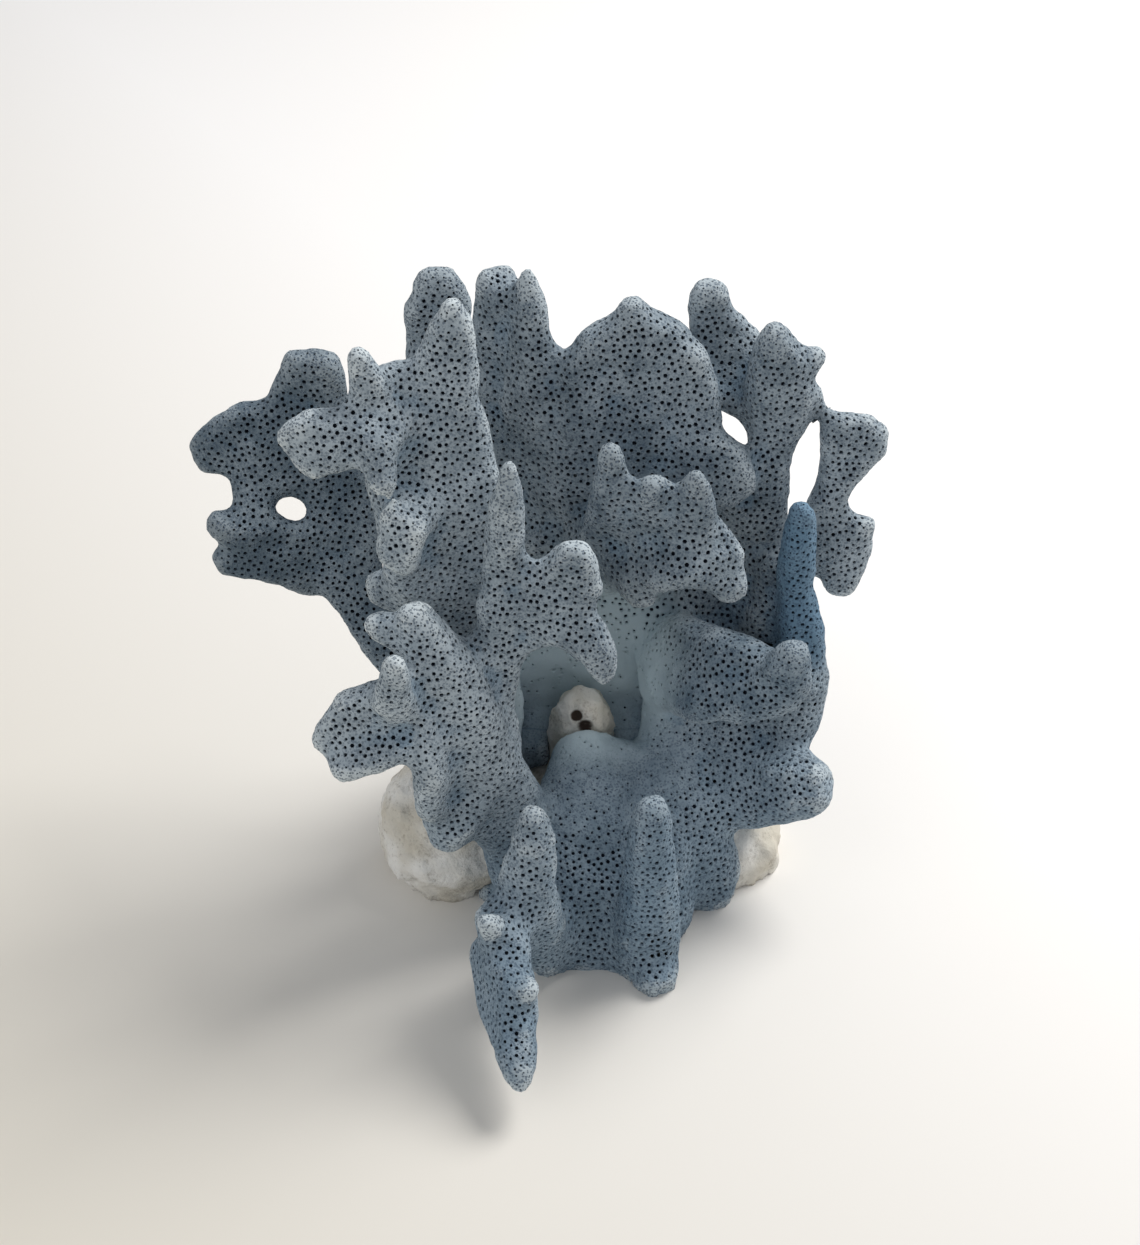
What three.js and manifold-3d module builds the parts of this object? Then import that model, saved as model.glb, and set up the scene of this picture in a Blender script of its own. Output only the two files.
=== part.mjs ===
// A colony of blue coral that grew over a lump of reef limestone, about 140 mm across.
// Millimetres, +Z up, seen from the front along +Y. The origin is under the middle of the colony, on the
// flat cut that it stands on. The living shape is a cup of thick walls round a hollow, and from its rim
// grow upright blades with lobed edges and blunt fingers. The colony is parted at its main forks.
import * as THREE from "three";
import { ConvexGeometry } from "three/addons/geometries/ConvexGeometry.js";
import { mergeVertices } from "three/addons/utils/BufferGeometryUtils.js";
import Module from "manifold-3d";

const wasm = await Module();
wasm.setup();

// Driving dimensions
const BLADE = 7; // usual thickness of a blade
const THIN_BLADE = 5.5; // a small ridge or the frill on an arm
const WALL = 14; // the cup's walls at the foot of the colony
const FORK_GAP = 0.3; // clearance left where a branch is parted from what carries it
const SLAB_RIM = 0.6; // how far the slab that parts a branch stands out round its neck
const STONE_GAP = 0.4; // clearance between the limestone and the coral that grew over it
const SMALLEST = 0.2; // shape details smaller than this are left out of the joined colony
const SLIM = 20; // a blade no wider than this has a cross-section of 6 corners, a wider one 8
const STEP = 24; // longest stretch of a blade between two cross-sections
const OVERLAP = 1; // how far the middle of a stretch reaches into the next one
const TIP_ANGLE = THREE.MathUtils.degToRad(55); // where the rounding of a blade's end is cut flat

// Directions that a blade's flat side can look in
const TO_VIEWER = [0, -0.77, 0.64];
const TO_FRONT = [0, -1, 0.25];
const TO_FRONT_LEFT = [-0.5, -0.85, 0.2];
const TO_FRONT_RIGHT = [0.5, -0.85, 0.2];
const TO_SIDE = [1, 0, 0.1];
const TO_SKY = [0, -0.4, 0.9];

const vector = (point) => new THREE.Vector3(...point);

function solidFrom(positions, triangles) {
  return new wasm.Manifold(
    new wasm.Mesh({
      numProp: 3,
      vertProperties: new Float32Array(positions),
      triVerts: new Uint32Array(triangles),
    }),
  );
}

const joined = (solids) => wasm.Manifold.union(solids);

// A plain closed solid out of a three.js geometry.
function solidOf(geometry) {
  const plain = mergeVertices(geometry.deleteAttribute("normal").deleteAttribute("uv"));
  return solidFrom(plain.getAttribute("position").array, plain.index.array);
}

// One blade or finger. Each point of its line is [x, y, z, width]; a narrow one is round, a wide one flat.
// It is joined out of convex stretches, each between two cross-sections, so that a tight bend can't fold it.
function blade(line, faces = TO_VIEWER, thick = BLADE) {
  const points = line.map(([x, y, z]) => new THREE.Vector3(x, y, z));
  const spine = new THREE.CatmullRomCurve3(points, false, "centripetal");
  const widths = new THREE.SplineCurve(line.map(([, , , width], i) => new THREE.Vector2(i, width)));
  const spans = line.length - 1;
  const stations = [];
  for (let span = 0; span < spans; span++) {
    const steps = Math.ceil(points[span].distanceTo(points[span + 1]) / STEP);
    for (let i = 0; i < steps; i++) stations.push((span + i / steps) / spans);
  }
  stations.push(1);
  const widest = Math.max(...line.map(([, , , width]) => width));
  const sides = widest > SLIM ? 8 : 6;
  const turn = sides === 8 ? 0.5 : 0; // so that no corner falls in the middle of a flat side

  const section = (t, offset = 0, shrink = 1) => {
    const along = spine.getTangent(t);
    const across = along.clone().cross(vector(faces)).normalize();
    const out = across.clone().cross(along).normalize();
    const halfWidth = widths.getPoint(t).y / 2;
    const round = Math.min(thick / 2, halfWidth);
    const centre = spine.getPoint(t).addScaledVector(along, offset * round);
    const rim = [];
    for (let i = 0; i < sides; i++) {
      const angle = (2 * Math.PI * (i + turn)) / sides;
      const flat = (halfWidth - round) * Math.sign(Math.cos(angle));
      const p = centre.clone();
      p.addScaledVector(across, flat + round * shrink * Math.cos(angle));
      p.addScaledVector(out, round * shrink * Math.sin(angle));
      rim.push(p);
    }
    return { rim, centre, along };
  };
  const sections = stations.map((t) => section(t));
  sections.push(section(1, Math.sin(TIP_ANGLE), Math.cos(TIP_ANGLE)));
  const stretches = [];
  for (let i = 1; i < sections.length; i++) {
    const [from, to] = [sections[i - 1], sections[i]];
    const corners = [...from.rim, ...to.rim];
    // a point a little beyond each inner end, so that neighbouring stretches overlap
    if (i > 1) corners.push(from.centre.clone().addScaledVector(from.along, -OVERLAP));
    if (i < sections.length - 1) corners.push(to.centre.clone().addScaledVector(to.along, OVERLAP));
    stretches.push(solidOf(new ConvexGeometry(corners)));
  }
  return joined(stretches);
}

// The cup at the foot: its walls, the mass in front with its toe, and the knobs that grow from them.
const cup = () =>
  joined([
    blade([[9, 15, 33, 12], [9, 4, 29, 19], [11, -9, 15, 22], [16, -16, -5, 22]], TO_VIEWER, 14),
    blade([[17, 4, 24, 14], [20, -8, 10, 16], [20, -13, -5, 16]], TO_VIEWER, 12),
    blade([[12, 10, 21, 15], [32, 9, 24, 16]], TO_SKY, 12),
    blade([[12, 11, 30, 12], [20, 8, 28, 14], [28, 7, 26, 12]], TO_SKY, 10),
    blade([[19, 6, 26, 15], [22, -3, 17, 18], [24, -9, 4, 18]], TO_VIEWER, 12),
    blade([[-3, 23, 26, 16], [20, 23, 26, 16]], TO_SKY, 9),
    blade([[-12, 32, -4, 28], [-12, 33, 24, 26], [-8, 35, 62, 16]], TO_FRONT, 10),
    blade([[9, 31, -4, 34], [9, 30, 40, 34], [9, 33, 72, 30]], TO_FRONT, 11),
    blade([[29, 30, -4, 26], [31, 30, 36, 25], [32, 31, 58, 14]], TO_FRONT, 10),
    blade([[-9, 12, -4, 30], [-10, 12, 22, 27], [-11, 12, 44, 14]], TO_SIDE, WALL),
    blade([[36, 17, -4, 26], [37, 17, 20, 24], [40, 19, 34, 20]], TO_SIDE, WALL),
    blade([[24, 9, 25, 12], [31, 4, 21, 16], [34, 1, 8, 17], [34, 1, -4, 15]], TO_VIEWER, 12),
    blade([[22, 15, 24, 15], [34, 12, 23, 21], [45, 8, 25, 19], [54.5, 3, 30, 15]], TO_VIEWER, 13),
    blade([[28, 13, 24, 16], [30, 19, 38, 18], [33, 23, 50, 14]], TO_VIEWER, 12),
    blade([[40, 16, 22, 24], [47, 16, 36, 21], [52, 17, 48, 13], [54, 20, 57, 8]], TO_VIEWER, 10),
    blade([[40, 25, 28, 22], [47, 25, 44, 18], [48, 28, 68, 9]], TO_FRONT),
    blade([[21, -18, -4, 16], [22, -19, 12, 14], [22, -18, 34, 10.5], [22, -17, 42.5, 8]], TO_VIEWER, 10),
    blade([[21, -16, 3, 14], [24, -24, 2, 11]], TO_SKY, 9),
    blade([[-2, -6, -4, 14], [-4, -7, 14, 13], [-6, -5, 28, 16]], TO_FRONT, 11),
    blade([[-10, 38, 22, 12], [-14, 46, 32, 10], [-15, 49, 44, 7]], TO_FRONT),
    blade([[24, 34, 30, 12], [28, 43, 42, 11], [29, 46, 54, 7]], TO_FRONT),
    blade([[8, 36, 6, 16], [8, 46, 4, 12]], TO_SKY, 9),
  ]);

// The mass at the left front with its upright rim knob, its side lobe and the arm that reaches left.
const leftBranch = () =>
  joined([
    blade(
      [
        [-5, -5, 26, 17], [-8, -6, 34, 19], [-13, -8, 46, 20.5], [-16, -8, 61, 19],
        [-19, -6, 73, 14], [-22.5, -6, 82, 8],
      ],
      TO_FRONT, 12,
    ),
    blade([[-13, -7, 50, 18], [-16, -10, 40, 18], [-18, -12, 33, 11]], TO_FRONT, 11),
    blade([[-18, -10, 36, 7], [-21, -16, 43, 8], [-21, -17, 54, 7], [-21, -14, 63, 5.5]], TO_FRONT, 8),
    blade([[-21, -5, 72, 8], [-26, -5, 78, 8], [-30, -5, 80, 7]], TO_FRONT),
    blade([[-14, -8, 60, 14], [-26, -11, 64, 15], [-35, -12, 62, 14], [-40, -12.5, 57, 9]], TO_FRONT, 6.5),
    blade([[-16, -9, 60, 12], [-28, -14, 59, 12], [-38, -16, 55, 9]], TO_SKY, THIN_BLADE),
    blade([[-24, -10, 60, 11], [-27, -15, 70, 9], [-26, -16.5, 80, 6]], TO_FRONT),
  ]);

// The finger at the left of the front foot, with the thin fin that stands out forwards from it.
const frontBranch = () =>
  joined([
    blade(
      [
        [6, -12, 0, 16], [1, -20, 8, 14], [-1.5, -25, 20, 13], [-2, -26, 33, 12], [-1, -24, 42, 10],
        [-1, -23, 47, 7],
      ],
      TO_VIEWER,
      10,
    ),
    blade(
      [
        [0, -20, 14, 12], [-8, -31, 21, 20], [-6, -42, 16, 17], [-4, -52, 12, 10],
        [-3.5, -57, 9.5, 4.5],
      ],
      [-0.92, -0.1, 0.35], 10,
    ),
    blade([[-3, -24, 24, 11], [-10, -32, 27, 8]], TO_SKY, THIN_BLADE),
    blade([[-7, -33, 22, 9], [-9.5, -36, 32, 6]], TO_FRONT, THIN_BLADE),
    blade([[-5, -42, 18, 9], [-2, -45, 23, 6]], TO_FRONT, THIN_BLADE),
  ]);

// The blade in the middle: one tall finger, and a lobe that bends down over the hollow.
const centreFinger = () =>
  joined([
    blade(
      [
        [-7, -4, 44, 9], [-8, -4, 59, 8], [-7, -1, 73.5, 11], [-6, 1, 86.5, 10], [-6, 2, 98.5, 8],
        [-5, 2, 107.5, 5.5], [-5, 2, 111.5, 4],
      ],
    ),
    blade([[-7, 0, 73.5, 12], [0, -1, 79.5, 17], [6, 0, 86.5, 14], [7, 0, 92.5, 9]], TO_FRONT),
    blade([[0, 0, 79.5, 11], [8, -3, 77, 11], [12, -5, 71.5, 8], [12.5, -6, 68.5, 6]], TO_FRONT),
  ]);

// The broad pale plate at the left front, with its two tips, its side lobe and the knobs on its rim.
const leftPlate = () =>
  joined([
    blade([
      [-10, 13, 38, 14], [-13, 10, 62, 18], [-18, 9, 84, 24], [-19.5, 13, 100, 26], [-21.5, 17, 112, 24],
      [-22, 19, 119.5, 18],
    ]),
    blade([[-19, 16, 106, 17], [-16.5, 19, 124, 12], [-15, 20, 131, 8], [-15, 20, 134, 5]]),
    blade([[-25, 15, 105, 10], [-31, 14, 120, 9], [-32, 14, 127, 6]]),
    blade([[-20, 16, 105, 9], [-32, 11, 111.5, 11], [-40, 9, 112, 15], [-43, 9, 110, 14]], TO_FRONT),
    blade([[-25, 15, 113, 8], [-29, 8, 112, 9], [-28, 4.5, 106, 7]], TO_FRONT),
    blade([[-21, 12, 96, 9], [-25, 4, 97, 11], [-26, 3, 91, 10], [-25, 4, 87.5, 7]], TO_FRONT),
    blade([[-18, 12, 76, 14], [-26, 11, 76, 12], [-31, 11, 75.5, 9]], TO_FRONT),
  ]);

// The branch behind it at the far left: two pointed lobes and a lower one, round a small hole.
const rearLeftBranch = () =>
  joined([
    blade(
      [
        [-13, 24, 27, 14], [-27, 22, 42, 10], [-33, 26, 50, 10], [-38, 31, 59, 13],
        [-41.5, 35, 69, 20], [-45, 38, 80, 25], [-48, 40, 88, 26], [-51.5, 41, 93, 20],
      ],
    ),
    blade([[-46, 41, 88, 18], [-45.5, 44, 100, 16], [-45, 44, 106, 13]]),
    blade([[-48, 41, 90, 17], [-59, 40, 90.5, 17], [-67, 40, 87.5, 10]], TO_FRONT),
    blade([[-40, 35, 66, 14], [-50, 32, 68.5, 17], [-57, 31, 70, 15], [-63.5, 30, 68, 9]], TO_FRONT),
    blade([[-50, 32, 67, 9], [-48.5, 32, 61, 7]], TO_FRONT),
    blade([[-57, 31, 72, 10], [-64, 30, 77, 7]], TO_FRONT),
    blade([[-57, 39, 88, 9], [-58, 37, 83, 8.5], [-57.5, 33, 77, 8.5], [-57, 31, 71, 9]]),
  ]).subtract(blade([[-50.5, 22, 87, 8], [-50.5, 46, 68.5, 8]], [0.3, 0.6, 0.74], 5.5));

// The two plates at the back, left of the middle. The second is folded round a sharp standing ridge.
const rearPlates = () =>
  joined([
    blade(
      [
        [-9, 36, 53, 15], [-13, 40, 64, 15], [-17, 46, 86, 14], [-20, 51, 104, 14],
        [-20, 53, 114, 14], [-20, 54, 119, 10],
      ],
      TO_FRONT,
    ),
    blade(
      [
        [-1, 35, 65, 13], [-3, 37, 80, 14], [-7, 42, 100, 13], [-8, 45, 116, 12], [-8, 45, 125, 9],
      ],
      TO_FRONT_RIGHT, 6,
    ),
    blade(
      [
        [3, 34, 65, 14], [2, 33, 82, 16], [-1.5, 36, 102, 12], [-1.5, 38, 114, 10.5],
        [-1.5, 39, 123, 6.5], [-2, 40, 129, 3],
      ],
      TO_FRONT_LEFT,
    ),
    blade([[-5, 41, 95, 12], [-5, 42, 112, 13], [-4.5, 42, 123, 12]], TO_VIEWER, THIN_BLADE),
  ]);

// The round plate right of the middle, with a blunt lobe on its right.
const roundPlate = () =>
  joined([
    blade(
      [
        [14, 31, 60, 22], [16, 29, 70, 26], [18, 30, 82, 30], [19, 33, 96, 34], [19, 35, 106, 33],
        [18.5, 36, 113, 29], [18.5, 37, 118.5, 19], [18, 37, 122, 8],
      ],
      TO_VIEWER,
      8,
    ),
    blade([[22, 32, 93, 12], [31, 30, 92, 17], [35.5, 29, 90, 16], [38, 28, 87, 12]], TO_FRONT),
  ]);

// The tall branch at the right: a main stem, a small one behind it, and one that leans out with two lobes.
const rightBranch = () =>
  joined([
    blade(
      [
        [37, 28, 42, 17], [42, 32, 64, 17], [42, 34, 80, 17], [46, 36, 91, 10], [47.5, 37, 103, 15],
        [46, 37.5, 112, 12], [45.6, 38, 116, 8],
      ],
      TO_FRONT,
      8,
    ),
    blade([[48, 38, 101, 10], [53, 38, 102, 8]], TO_FRONT),
    blade([[48, 38, 108, 9], [53.5, 39, 110.5, 6]], TO_FRONT),
    blade(
      [
        [46, 37, 96, 8], [42, 41, 99, 10], [38, 44.5, 103.5, 18], [36, 46.5, 110, 16],
        [33.5, 47, 116, 10], [33, 47, 120, 8.5],
      ],
    ),
    blade([[38, 46, 104, 9], [41, 47.5, 109, 6]]),
    blade(
      [
        [41, 30, 52, 14], [50, 32, 62, 10], [55.8, 33.5, 73, 8], [58.7, 34, 83, 8], [61.3, 35.5, 91, 14],
        [61.5, 36, 97, 12],
      ],
      TO_FRONT,
    ),
    blade([[60, 36, 93, 11], [66.5, 36, 93, 10]], TO_FRONT),
    blade([[57, 34, 79, 8], [61.5, 32.5, 73, 12], [62.5, 32, 68, 12.5], [62, 31, 61, 9]], TO_FRONT),
    blade([[61, 32, 72, 9], [66, 32, 75, 6.5]], TO_FRONT),
  ]);

const rightFinger = () =>
  blade(
    [
      [52, 16, 36, 13], [54, 17.5, 46, 12], [53, 19, 58, 10], [51, 20, 70, 8.5], [51, 20, 80, 8],
      [51, 20, 87, 7],
    ],
    TO_VIEWER, 8,
  );

// The plate in front of the round one, with three tips along its upper edge.
const crownPlate = () =>
  joined([
    blade(
      [
        [10, 31, 64, 12], [11.5, 25, 71.5, 17], [17, 18, 81, 19], [25, 14, 84, 19.5],
        [31, 13, 84, 17], [35.5, 12, 80.5, 13],
      ],
    ),
    blade([[13, 20, 80, 12], [14.5, 17, 95, 9], [14, 17, 104, 5]]),
    blade([[21, 17, 84, 10], [22, 15, 97, 7]]),
    blade([[29, 15, 84, 12], [30, 14, 95, 8.5], [30, 14, 100, 5.5]]),
    blade([[17, 18, 80, 12], [20, 13, 73, 8]]),
    blade([[33, 13, 82, 12], [37.5, 10.5, 76, 8]]),
  ]);

// The shelf at the right, under the crown plate, with its end turned up.
const rightLobe = () =>
  joined([
    blade(
      [
        [24, 24, 44, 17], [28, 17, 51, 21], [34, 9, 55, 21], [41, 5, 57, 18], [47, 2, 58, 13],
      ],
      TO_VIEWER, 10,
    ),
    blade([[44, 4, 55, 15], [48, 1.5, 61, 13], [49, 1, 66, 9]], TO_VIEWER, 9),
  ]);

const lump = ([x, y, z], [rx, ry, rz], detail, seed, grow) => {
  const ball = mergeVertices(
    new THREE.IcosahedronGeometry(1, detail).deleteAttribute("normal").deleteAttribute("uv"),
  );
  const corners = ball.getAttribute("position");
  const p = new THREE.Vector3();
  for (let i = 0; i < corners.count; i++) {
    p.fromBufferAttribute(corners, i).normalize();
    const large = 0.07 * Math.sin(5 * p.x + 3 * p.z + seed) * Math.cos(4 * p.y - seed);
    const small = 0.05 * Math.sin(9 * p.z + 7 * p.y + 2 * seed);
    p.multiplyScalar(1 + large + small);
    corners.setXYZ(i, x + p.x * (rx + grow), y + p.y * (ry + grow), z + p.z * (rz + grow));
  }
  return solidOf(ball);
};

// The limestone under the colony. Its two ends look out at the left and right, and a stub stands in the
// hollow.
const limestoneGrown = (grow) =>
  joined([
    lump([-19.5, 11, 11], [15.5, 16, 18], 2, 1, grow),
    lump([8, 17, 6], [28, 14, 17], 1, 2, grow),
    lump([40, 14, 3], [13, 13, 12], 1, 3, grow),
    blade(
      [[9, 19, 14, 15 + 2 * grow], [8.5, 19, 33, 14.5 + 2 * grow], [8.5, 18, 37, 13.5 + 2 * grow]],
      TO_VIEWER,
      12 + 2 * grow,
    ),
  ]);

// The closed pieces of a solid that aren't joined to one another.
const pieces = (solid) => solid.decompose().map((piece) => piece.asOriginal());

const largest = (solid) => pieces(solid).reduce((a, b) => (a.volume() > b.volume() ? a : b));

// A thin slab over the part of a piece's surface that lies in a plane, a little wider than that part.
function slab(piece, normal, height) {
  const { vertProperties, numProp } = piece.getMesh();
  const face = [];
  for (let i = 0; i < vertProperties.length; i += numProp) {
    const corner = new THREE.Vector3(...vertProperties.subarray(i, i + 3));
    if (Math.abs(corner.dot(normal) - height) < 1e-3) face.push(corner);
  }
  const centre = new THREE.Box3().setFromPoints(face).getCenter(new THREE.Vector3());
  const points = face.flatMap((corner) => {
    const wider = corner.clone().addScaledVector(corner.clone().sub(centre).normalize(), SLAB_RIM);
    return [FORK_GAP / 2, -FORK_GAP / 2].map((offset) => wider.clone().addScaledVector(normal, offset));
  });
  return solidOf(new ConvexGeometry(points));
}

// Part a branch off at its fork: it holds `tip` and lies beyond every one of the planes.
function fork(colony, tip, planes) {
  const at = solidOf(new THREE.OctahedronGeometry(1)).translate(tip);
  const holds = (piece) => piece.volume() > 1 && !piece.intersect(at).isEmpty();
  const cuts = planes.map(([point, normal]) => {
    const n = vector(normal).normalize();
    return [n, n.dot(vector(point))];
  });
  const trimmed = cuts.reduce((solid, [n, height]) => solid.trimByPlane(n.toArray(), height), colony);
  const beyond = pieces(trimmed).find(holds);
  if (!beyond) throw new Error(`nothing grows at ${tip}`);
  const parted = pieces(colony.subtract(joined(cuts.map(([n, height]) => slab(beyond, n, height)))));
  const branch = parted.find(holds);
  const rest = parted.filter((piece) => piece !== branch).reduce((a, b) => (a.volume() > b.volume() ? a : b));
  return [branch, rest];
}

// Where each branch forks off: a point inside it, and the planes it lies beyond, each a point and a normal.
const FORKS = {
  outer_right_branch: [[61, 36, 93], [[[51.5, 33, 68], [1, 0, -0.15]], [[51, 33, 66], [0.8, 0.3, 0.5]]]],
  right_finger: [[51, 20, 80], [[[53, 18, 52], [0, -0.2, 0.98]], [[51, 24, 66], [0, -1, 0.1]]]],
  right_branch: [[46, 37, 92], [[[42, 30, 60], [0.2, 0, 0.98]]]],
  right_shelf: [[42, 7, 56], [[[30, 17, 51], [0.35, -0.9, 0.3]], [[42, 7, 46.5], [0, 0.2, 0.98]]]],
  crown_plate: [[25, 14, 84], [[[14, 22, 76], [0.1, -0.97, 0.2]]]],
  round_plate: [[19, 34, 100], [[[14, 31, 74], [0.3, 0, 0.95]], [[6.5, 33, 85], [1, 0, 0.1]]]],
  folded_plate: [[-1.5, 37, 108], [[[-1, 35, 74], [-0.2, 0, 0.98]]]],
  rear_left_plate: [[-19, 50, 100], [[[-14, 42, 70], [-0.2, 0.2, 0.96]]]],
  rear_left_branch: [[-46, 39, 84], [[[-24, 22, 38], [-0.7, 0.1, 0.7]]]],
  left_front_plate: [[-18, 11, 92], [[[-13, 10, 62], [-0.15, -0.1, 0.98]]]],
  centre_finger: [[-6, 1, 88], [[[-9, -2, 67], [0.8, 0.2, 0.56]]]],
  left_branch: [[-17, -8, 62], [[[-8, -7, 36], [-0.5, -0.6, 0.62]]]],
  front_branch: [[-2, -25, 30], [[[1, -17, 8], [-0.3, -0.9, 0.3]]]],
  front_finger: [[22, -19, 30], [[[21, -18, 17], [0, -0.2, 0.98]], [[21, -14, 17], [0.1, -1, 0.1]]]],
};

const onFloor = (solid) => solid.trimByPlane([0, 0, 1], 0);
const part = new THREE.Group();
const CORAL = new THREE.MeshStandardMaterial({ color: 0x7f93a6, roughness: 0.85, metalness: 0 });
const LIMESTONE = new THREE.MeshStandardMaterial({ color: 0xe2dccd, roughness: 0.95, metalness: 0 });

function add(name, solid, material) {
  const { vertProperties, triVerts, numProp } = solid.getMesh();
  const positions = new Float32Array((vertProperties.length / numProp) * 3);
  for (let i = 0; i < positions.length / 3; i++) {
    positions.set(vertProperties.subarray(i * numProp, i * numProp + 3), i * 3);
  }
  const geometry = new THREE.BufferGeometry()
    .setAttribute("position", new THREE.BufferAttribute(positions, 3))
    .setIndex(new THREE.BufferAttribute(triVerts, 1));
  geometry.computeVertexNormals();
  const mesh = new THREE.Mesh(geometry, material);
  mesh.name = name;
  part.add(mesh);
}

const grown = joined([
  cup(), leftBranch(), frontBranch(), centreFinger(), leftPlate(), rearLeftBranch(),
  rearPlates(), roundPlate(), rightBranch(), rightFinger(), crownPlate(), rightLobe(),
]);
let colony = largest(onFloor(grown.subtract(limestoneGrown(STONE_GAP)))).simplify(SMALLEST);
for (const [name, [tip, planes]] of Object.entries(FORKS)) {
  const [branch, rest] = fork(colony, tip, planes);
  add(name, branch, CORAL);
  colony = rest;
}
add("trunk", colony, CORAL);
add("limestone", onFloor(limestoneGrown(0)), LIMESTONE);

// The numbers above are measured from a place near the middle; the origin goes under the middle itself.
const middle = new THREE.Box3().setFromObject(part).getCenter(new THREE.Vector3());
for (const mesh of part.children) mesh.geometry.translate(-middle.x, -middle.y, 0);

export default part;
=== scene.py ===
# %% [markdown]
# # A colony of blue coral
# The object is one hand-sized colony of blue coral. It grew over a lump of reef limestone, and its plates
# and fingers stand round a hollow. The solids from CAD give the places and sizes of every branch. Here
# they get what the eye sees: plates that flow into each other, thousands of round pores, pale rims
# and the rough stone below.

import itertools
import math

import bmesh
import bpy
import numpy as np
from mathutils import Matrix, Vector
from mathutils.bvhtree import BVHTree


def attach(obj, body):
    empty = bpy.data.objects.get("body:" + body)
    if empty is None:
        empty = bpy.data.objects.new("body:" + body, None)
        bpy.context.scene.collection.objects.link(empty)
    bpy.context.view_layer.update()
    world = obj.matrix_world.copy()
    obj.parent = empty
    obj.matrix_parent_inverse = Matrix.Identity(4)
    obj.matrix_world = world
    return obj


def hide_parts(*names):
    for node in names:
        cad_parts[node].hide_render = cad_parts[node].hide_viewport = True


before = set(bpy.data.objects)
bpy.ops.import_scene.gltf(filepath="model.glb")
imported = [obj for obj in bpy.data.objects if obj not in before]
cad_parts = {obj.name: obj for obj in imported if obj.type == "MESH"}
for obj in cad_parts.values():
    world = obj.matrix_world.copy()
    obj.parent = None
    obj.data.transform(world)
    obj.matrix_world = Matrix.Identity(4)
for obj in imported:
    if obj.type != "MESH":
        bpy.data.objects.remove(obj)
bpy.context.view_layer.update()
MM = 0.001
print("nodes:", len(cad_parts))

# %% [markdown]
# ## The camera
# The photograph looks down on the colony from the front, at about 40 degrees, and so does the camera, which
# comes first. It looks at a point inside the colony. A long lens keeps the back plates
# nearly as large as the front ones, as in the photograph.

# %% Place the camera
CAMERA_PITCH = math.radians(40)
CAMERA_DISTANCE = 430 * MM
CAMERA_TARGET = Vector((6.87, 16.93, 63)) * MM
LENS = 62.2  # mm, for a sensor 36 mm high


def make_camera():
    camera = bpy.data.cameras.new("photo camera")
    camera.lens = LENS
    camera.sensor_width = 36
    camera.clip_start = 0.01
    holder = bpy.data.objects.new("photo camera", camera)
    bpy.context.collection.objects.link(holder)
    back = Vector((0, -math.cos(CAMERA_PITCH), math.sin(CAMERA_PITCH)))
    holder.location = CAMERA_TARGET + back * CAMERA_DISTANCE
    holder.rotation_euler = (math.pi / 2 - CAMERA_PITCH, 0, 0)
    bpy.context.scene.camera = holder
    return holder


camera = make_camera()
print("camera at", [round(v, 3) for v in camera.location])

# %% [markdown]
# ## Floor and light
# The photograph was taken on a pale sheet in soft daylight. A wide plane makes the floor, and its colour gets
# painted shade towards the lower left, darker and warmer, where the daylight falls off. One large area light
# high on the right gives the soft shadow at the left, a weaker one fills from the left, and a bright world
# keeps the hollows readable.

# %% Make the floor and the lights
NEAR_WINDOW = (0.90, 0.89, 0.88, 1)
FLOOR_PAINTED_SHADE = (0.70, 0.655, 0.56, 1)
FLOOR_HALF_SIDE = 3.0
TOWARDS_WINDOW = (0.8, 0.6, 0)
FALL_FROM = -180 * MM  # along that direction the floor's painted shade is as dark as it gets here
FALL_TO = 120 * MM  # and as bright as it gets here


def make_floor():
    mesh = bpy.data.meshes.new("floor")
    corners = [(x * FLOOR_HALF_SIDE, y * FLOOR_HALF_SIDE, 0) for x, y in ((-1, -1), (1, -1), (1, 1), (-1, 1))]
    mesh.from_pydata(corners, [], [(0, 1, 2, 3)])
    floor = bpy.data.objects.new("floor", mesh)
    bpy.context.collection.objects.link(floor)
    material = bpy.data.materials.new("pale sheet")
    material.use_nodes = True
    tree = material.node_tree
    shader = tree.nodes["Principled BSDF"]
    shader.inputs["Roughness"].default_value = 0.9
    across = tree.nodes.new("ShaderNodeTexCoord").outputs["Object"]
    fall = tree.nodes.new("ShaderNodeVectorMath")
    fall.operation = "DOT_PRODUCT"
    fall.inputs[1].default_value = TOWARDS_WINDOW
    tree.links.new(across, fall.inputs[0])
    shade = tree.nodes.new("ShaderNodeMapRange")
    shade.inputs["From Min"].default_value = FALL_FROM
    shade.inputs["From Max"].default_value = FALL_TO
    tree.links.new(fall.outputs["Value"], shade.inputs["Value"])
    # painted shade: the floor turns darker and warmer towards the lower left, away from the window light
    mix = tree.nodes.new("ShaderNodeMix")
    mix.data_type = "RGBA"
    mix.inputs[6].default_value = FLOOR_PAINTED_SHADE
    mix.inputs[7].default_value = NEAR_WINDOW
    tree.links.new(shade.outputs["Result"], mix.inputs["Factor"])
    tree.links.new(mix.outputs[2], shader.inputs["Base Color"])
    mesh.materials.append(material)
    return floor


def make_light(name, place, size, power, colour):
    light = bpy.data.lights.new(name, "AREA")
    light.size = size
    light.energy = power
    light.color = colour
    holder = bpy.data.objects.new(name, light)
    holder.location = place
    holder.rotation_euler = (CAMERA_TARGET - Vector(place)).to_track_quat("-Z", "Y").to_euler()
    bpy.context.collection.objects.link(holder)
    return holder


def make_world(colour, strength):
    world = bpy.data.worlds.new("soft daylight")
    world.use_nodes = True
    background = world.node_tree.nodes["Background"]
    background.inputs["Color"].default_value = colour
    background.inputs["Strength"].default_value = strength
    bpy.context.scene.world = world


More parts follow.
